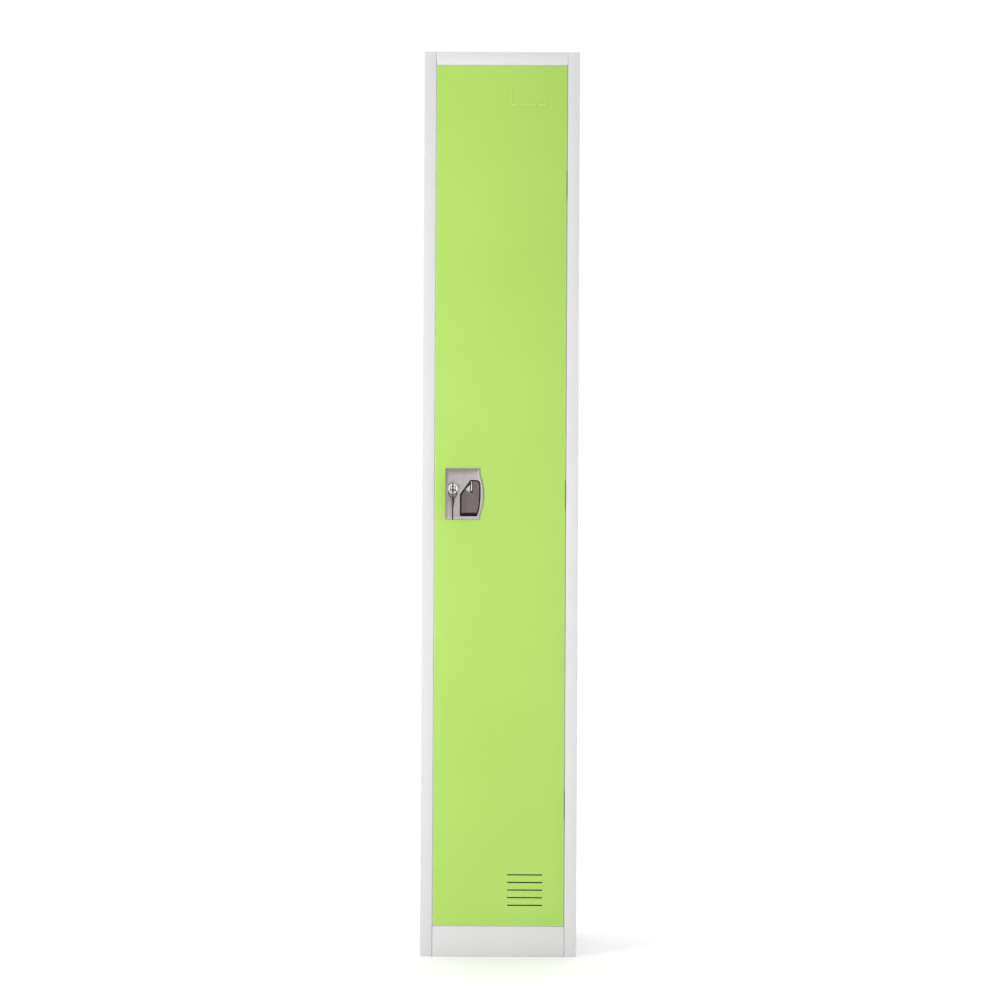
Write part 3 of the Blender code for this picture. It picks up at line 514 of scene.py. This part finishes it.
def lever_cap():
    """The lever's pressed face: creased facets inside a rolled border, around the solid lever's front."""
    rim = cap_outline()
    bordered = [side for side in rim if not cut_side(*side)]
    shape = bmesh.new()
    cap_front(shape, rim)
    front_points = shape.verts[:]
    edges = [edge for edge in shape.edges if edge.is_boundary]
    sides = bmesh.ops.extrude_edge_only(shape, edges=edges)["geom"]
    back_edges = [item for item in sides if isinstance(item, bmesh.types.BMEdge) and item.is_boundary]
    for item in sides:
        if isinstance(item, bmesh.types.BMVert):
            item.co.y = CAP_BACK
    bmesh.ops.edgeloop_fill(shape, edges=back_edges)
    for vertex in front_points:
        spot = vertex.co.xz
        vertex.co.y = -cap_depth(spot, min(to_segment(spot, *side) for side in bordered))
    bmesh.ops.translate(shape, verts=shape.verts, vec=LEVER_LOW)
    finished("lever_cap", shape, FINISHES["gunmetal"], "lever")


def lathe(profile, centre, steps=32):
    """A closed solid turned about a line along Y: profile points are (radius, depth)."""
    shape = bmesh.new()
    angles = [2 * math.pi * step / steps for step in range(steps)]
    loops = [
        [
            shape.verts.new((centre.x + radius * math.cos(a), depth, centre.z + radius * math.sin(a)))
            for a in angles
        ]
        for radius, depth in profile
    ]
    ring_strip(shape, loops)
    shape.faces.new(loops[0])
    shape.faces.new(loops[-1])
    return shape


RIVET_PROFILE = (  # over the head's roll and into its shank: (share of the radius, share of the height)
    (0.90, 0.00), (1.00, 0.25), (0.97, 0.60), (0.85, 0.90),
    (0.70, 1.00), (0.58, 0.95), (0.48, 0.70), (0.44, 0.15),
)


def tubular_rivet():
    """A rolled rivet head with its hollow shank showing as a dark dot."""
    low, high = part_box("lever_rivet")
    radius, tall = (high.x - low.x) / 2, high.y - low.y
    profile = [(out * radius, high.y - up * tall) for out, up in RIVET_PROFILE]
    shape = lathe(profile, (low + high) / 2)
    item = finished("tubular_rivet", shape, FINISHES["gunmetal"], "lever")
    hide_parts("lever_rivet")


SEAL_DEPTH = (0.0016, 0.0024)  # of its two faces, behind the door's face
SEAL_REACH = 0.0009  # beyond the door's edge
SEAL_REACH_HINGED = 0.0005
SEAL_ROOT = 0.0008  # within it
SEAL_CLEARANCE = 0.004  # above and below each hinge
SEAL_ROUND = 0.0002


def edge_seals():
    """A thin pale lip along each side of the door that closes most of the gap to the frame."""
    low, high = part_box("door_panel")
    material = moulded_rubber("clear_lip", *CLEAR_GREY)
    front, back = (low.y + depth for depth in SEAL_DEPTH)
    bounds = [low.z]
    for level in ("lower", "middle", "upper"):
        leaf_low, leaf_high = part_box("hinge_door_leaf_" + level)
        bounds += [leaf_low.z - SEAL_CLEARANCE, leaf_high.z + SEAL_CLEARANCE]
    bounds.append(high.z)
    strips = [
        ("seal_left", (low.x - SEAL_REACH, low.z), (low.x + SEAL_ROOT, high.z)),
        ("seal_top", (low.x, high.z - SEAL_ROOT), (high.x, high.z + SEAL_REACH)),
        ("seal_bottom", (low.x, low.z - SEAL_REACH), (high.x, low.z + SEAL_ROOT)),
    ]
    left, right = high.x - SEAL_ROOT, high.x + SEAL_REACH_HINGED
    for number, (start, end) in enumerate(zip(bounds[::2], bounds[1::2])):
        strips.append((f"seal_right_{number}", (left, start), (right, end)))
    for name, start, end in strips:
        shape = bmesh.new()
        bmesh.ops.create_cube(shape, size=1)
        for vertex in shape.verts:
            share = vertex.co + Vector((0.5, 0.5, 0.5))
            vertex.co = (
                start[0] + (end[0] - start[0]) * share.x, front + (back - front) * share.y,
                start[1] + (end[1] - start[1]) * share.z,
            )
        finished(name, shape, material, "door", SEAL_ROUND)


# Floor, light and camera

ROOM = (0.36, 1.03)  # brightness behind the camera and beyond the locker
OVERHEAD = 0.75  # extra brightness of the ceiling
CARD = 0.75  # extra brightness of a white card just behind the camera
FLOOR = (0.97, 0.99)  # reflectance near the locker and far away
FLOOR_FADE = (1.0, 5.0)  # how far out it changes
FLOOR_GLOW = 0.08  # lift that only the camera sees, so that the floor meets the white backdrop
LAMPS = (  # name, place, aim, power, size, whether it is mirrored in shiny faces
    ("key_lamp", (-1.65, -1.7, 1.25), (0, 0, 0.9), 18, 1.0, False),
    ("fill_lamp", (2.6, -3.4, 1.6), (0, 0, 0.9), 12, 1.4, True),
)


def pale_floor():
    """A wide disc with a faint drift of tone."""
    shape = bmesh.new()
    bmesh.ops.create_circle(shape, cap_ends=True, segments=96, radius=14)
    mesh = bpy.data.meshes.new("floor")
    shape.to_mesh(mesh)
    shape.free()
    floor = bpy.data.objects.new("floor", mesh)
    bpy.context.scene.collection.objects.link(floor)
    material, tree, shader = new_material("floor")
    far = node(tree, "ShaderNodeVectorMath", {0: places(tree)}, operation="LENGTH").outputs["Value"]
    level = between(tree, far, *FLOOR_FADE, *FLOOR)
    drift = between(tree, grain(tree, 6, 3.0), 0.3, 0.7, 0.99, 1.0)
    tree.links.new(calculate(tree, "MULTIPLY", level, drift), shader.inputs["Base Color"])
    shader.inputs["Roughness"].default_value = 0.8
    seen = node(tree, "ShaderNodeLightPath").outputs["Is Camera Ray"]
    shader.inputs["Emission Color"].default_value = (1, 1, 1, 1)
    tree.links.new(between(tree, seen, 0, 1, 0, FLOOR_GLOW), shader.inputs["Emission Strength"])
    mesh.materials.append(material)


def soft_room():
    """White light from all round: dimmer behind the camera, but for a card there, and brighter overhead."""
    world = bpy.data.worlds.new("studio")
    world.use_nodes = True
    tree = world.node_tree
    where = node(tree, "ShaderNodeTexCoord").outputs["Generated"]
    axes = node(tree, "ShaderNodeSeparateXYZ", {"Vector": where}).outputs
    level = between(tree, axes["Y"], -0.6, 0.4, *ROOM)
    above = between(tree, axes["Z"], 0.75, 0.95, 0.0, OVERHEAD)
    card = between(tree, axes["Y"], -0.90, -0.97, 0.0, CARD)
    level = calculate(tree, "ADD", calculate(tree, "ADD", level, above), card)
    tree.links.new(level, tree.nodes["Background"].inputs["Strength"])
    tree.nodes["Background"].inputs["Color"].default_value = (1, 1, 1, 1)
    bpy.context.scene.world = world


def lamp(name, place, aim, power, size, mirrored):
    """A soft square lamp turned towards a point."""
    light = bpy.data.lights.new(name, "AREA")
    light.energy = power
    light.size = size
    item = bpy.data.objects.new(name, light)
    item.location = place
    item.visible_glossy = mirrored
    item.rotation_euler = (Vector(aim) - Vector(place)).to_track_quat("-Z", "Y").to_euler()
    bpy.context.scene.collection.objects.link(item)


CAMERA_DISTANCE = 5.0
CAMERA_PITCH, CAMERA_ROLL = math.radians(0.8), math.radians(-0.285)
FILLED = 0.9049  # share of the picture's height that the locker takes
AIM = 0.5035  # height on the locker's front that the camera looks at, as a share of its own


def camera():
    """Long lens, straight on, a little below the middle and tilted up, with a slight roll."""
    data = bpy.data.cameras.new("camera")
    data.sensor_width = 36
    data.lens = data.sensor_width * CAMERA_DISTANCE / (HEIGHT / FILLED)
    item = bpy.data.objects.new("camera", data)
    height = AIM * HEIGHT - CAMERA_DISTANCE * math.tan(CAMERA_PITCH)
    item.location = (0, FRONT_Y - CAMERA_DISTANCE, height)
    item.rotation_euler = (math.radians(90) + CAMERA_PITCH, CAMERA_ROLL, 0)
    bpy.context.scene.collection.objects.link(item)
    bpy.context.scene.camera = item
    bpy.context.scene.view_settings.view_transform = "Standard"


finish_nodes()
split_ring()
lever_cap()
tubular_rivet()
edge_seals()
pale_floor()
soft_room()
for settings in LAMPS:
    lamp(*settings)
camera()
